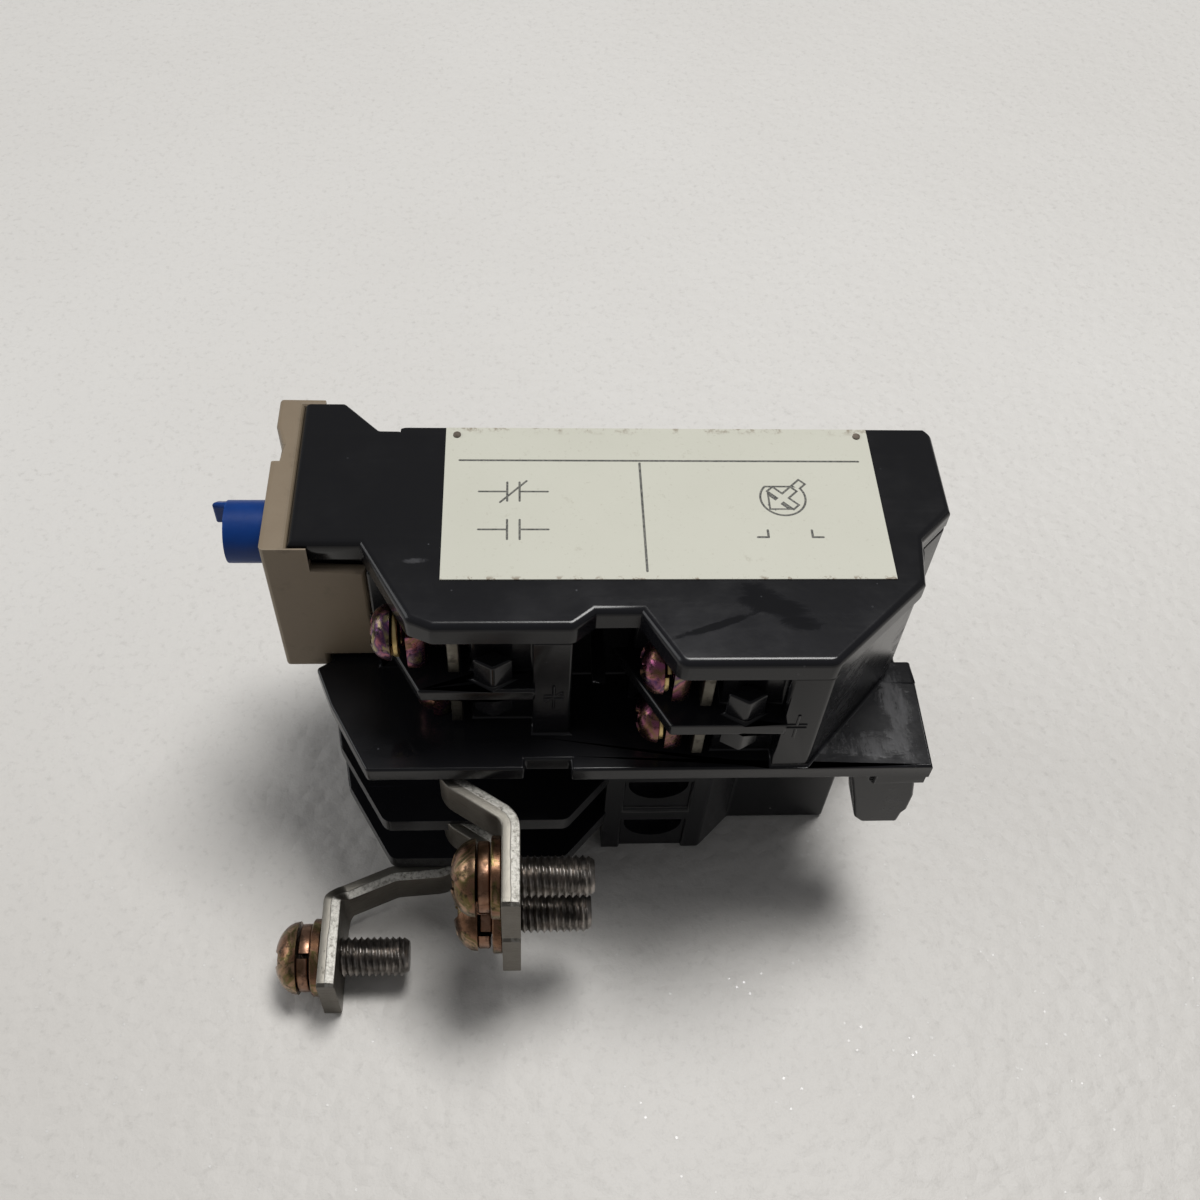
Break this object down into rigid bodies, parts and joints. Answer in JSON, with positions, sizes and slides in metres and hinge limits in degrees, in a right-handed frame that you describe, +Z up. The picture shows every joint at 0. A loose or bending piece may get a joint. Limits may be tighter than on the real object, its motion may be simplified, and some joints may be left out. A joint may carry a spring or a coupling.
{
  "type": "thermal overload relay",
  "caption": "Thermal overload relay lying on its side, with bus bars, screw terminals, front cover, blue reset rod, setting dial and a working trip linkage.",
  "frame": {"origin": "middle of the footprint, at the level of the face it lies on", "axes": "+X towards the back of the relay, +Y towards the load terminals, +Z up, out of the side cover with the rating plate"},
  "size_m": [0.0844, 0.0644, 0.0553],
  "materials": {
    "black_case": "glossy moulded phenolic",
    "beige_cover": "moulded, satin",
    "blue_plastic": "moulded",
    "label_stock": "coated plate, printed frame only",
    "rivet_metal": "drive rivets",
    "zinc_screws": "iridescent zinc plating",
    "yellow_zinc": "olive yellow chromate",
    "tinned_bar": "tinned copper, sheared edges",
    "nickel_plate": "nickel plated",
    "heater_band": "resistance band",
    "bimetal_strip": "rolled bimetal",
    "pale_moulding": "moulded",
    "white_dial": "moulded",
    "lever_steel": "stamped steel",
    "contact_brass": "rolled strip",
    "spring_steel": "spring temper"
  },
  "bodies": {
    "relay": {"side_cover": "black_case", "mechanism_case": "black_case", "power_case": "black_case", "rear_cover": "black_case", "front_cover": "beige_cover", "rating_label": "label_stock", "label_rivets": "rivet_metal", "case_screws": "zinc_screws", "bus_bar_1": "tinned_bar", "bus_bar_2": "tinned_bar", "bus_bar_3": "tinned_bar", "bus_screws": "yellow_zinc", "bus_spring_washers": "yellow_zinc", "bus_flat_washers": "yellow_zinc", "load_terminal_1": "tinned_bar", "load_terminal_2": "tinned_bar", "load_terminal_3": "tinned_bar", "load_screws": "yellow_zinc", "load_washers": "yellow_zinc", "heater_1": "heater_band", "heater_2": "heater_band", "heater_3": "heater_band", "reset_spring": "spring_steel", "snap_spring": "spring_steel", "pivot_pins": "lever_steel", "nc_terminal_upper": "nickel_plate", "nc_terminal_lower": "nickel_plate", "no_terminal_upper": "nickel_plate", "no_terminal_lower": "nickel_plate", "aux_screws": "zinc_screws", "aux_spring_washers": "zinc_screws", "aux_square_washers": "zinc_screws"},
    "reset_slide": {"reset_slider": "pale_moulding"},
    "reset_turner": {"reset_rod": "blue_plastic"},
    "dial": {"adjusting_dial": "white_dial"},
    "adjuster": {"adjusting_lever": "lever_steel"},
    "transfer": {"transfer_bar": "pale_moulding"},
    "compensator": {"compensating_lever": "bimetal_strip"},
    "bimetal_a": {"bimetal_1": "bimetal_strip"},
    "bimetal_b": {"bimetal_2": "bimetal_strip"},
    "bimetal_c": {"bimetal_3": "bimetal_strip"},
    "trip": {"trip_lever": "pale_moulding", "nc_blade": "contact_brass", "no_blade": "contact_brass"},
    "test": {"test_rod": "beige_cover"}
  },
  "joints": [
    {"name": "reset_push", "type": "slide", "parent": "relay", "child": "reset_slide", "axis": [1, 0, 0], "range_m": [0, 0.0025], "stiffness_N_per_m": 300},
    {"name": "reset_turn", "type": "hinge", "parent": "reset_slide", "child": "reset_turner", "pos_m": [-0.03275, 0.00725, 0.049], "axis": [1, 0, 0], "range_deg": [0, 90]},
    {"name": "dial_turn", "type": "hinge", "parent": "relay", "child": "dial", "pos_m": [-0.03275, 0.00765, 0.0388], "axis": [1, 0, 0], "range_deg": [0, 240]},
    {"name": "current_setting", "type": "hinge", "parent": "relay", "child": "adjuster", "pos_m": [-0.00475, 0.01275, 0.037], "axis": [0, 0, -1], "range_deg": [0, 1.5]},
    {"name": "transfer_slide", "type": "slide", "parent": "relay", "child": "transfer", "axis": [0, 1, 0], "range_m": [0, 0.002], "stiffness_N_per_m": 400},
    {"name": "compensator_swing", "type": "hinge", "parent": "adjuster", "child": "compensator", "pos_m": [0.01925, 0.01275, 0.0417], "axis": [0, 0, 1], "range_deg": [0, 14]},
    {"name": "trip_snap", "type": "hinge", "parent": "relay", "child": "trip", "pos_m": [0.00225, 0.00735, 0.046], "axis": [0, 0, -1], "range_deg": [0, 5.7]},
    {"name": "test_push", "type": "slide", "parent": "relay", "child": "test", "axis": [1, 0, 0], "range_m": [0, 0.0015], "stiffness_N_per_m": 300},
    {"name": "bimetal_bend_a", "type": "hinge", "parent": "relay", "child": "bimetal_a", "pos_m": [-0.01375, 0.00915, 0.0051], "axis": [0, 0, 1], "range_deg": [0, 2.6]},
    {"name": "bimetal_bend_b", "type": "hinge", "parent": "relay", "child": "bimetal_b", "pos_m": [-0.01375, 0.00915, 0.0154], "axis": [0, 0, 1], "range_deg": [0, 2.6]},
    {"name": "bimetal_bend_c", "type": "hinge", "parent": "relay", "child": "bimetal_c", "pos_m": [-0.01375, 0.00915, 0.02755], "axis": [0, 0, 1], "range_deg": [0, 2.6]}
  ],
  "couplings": [
    {"joint": "current_setting", "follows": "dial_turn", "ratio": 0.00625},
    {"joint": "compensator_swing", "follows": "transfer_slide", "rad_per_m": 120},
    {"joint": "bimetal_bend_a", "follows": "transfer_slide", "rad_per_m": 22.2},
    {"joint": "bimetal_bend_b", "follows": "transfer_slide", "rad_per_m": 22.2},
    {"joint": "bimetal_bend_c", "follows": "transfer_slide", "rad_per_m": 22.2}
  ]
}
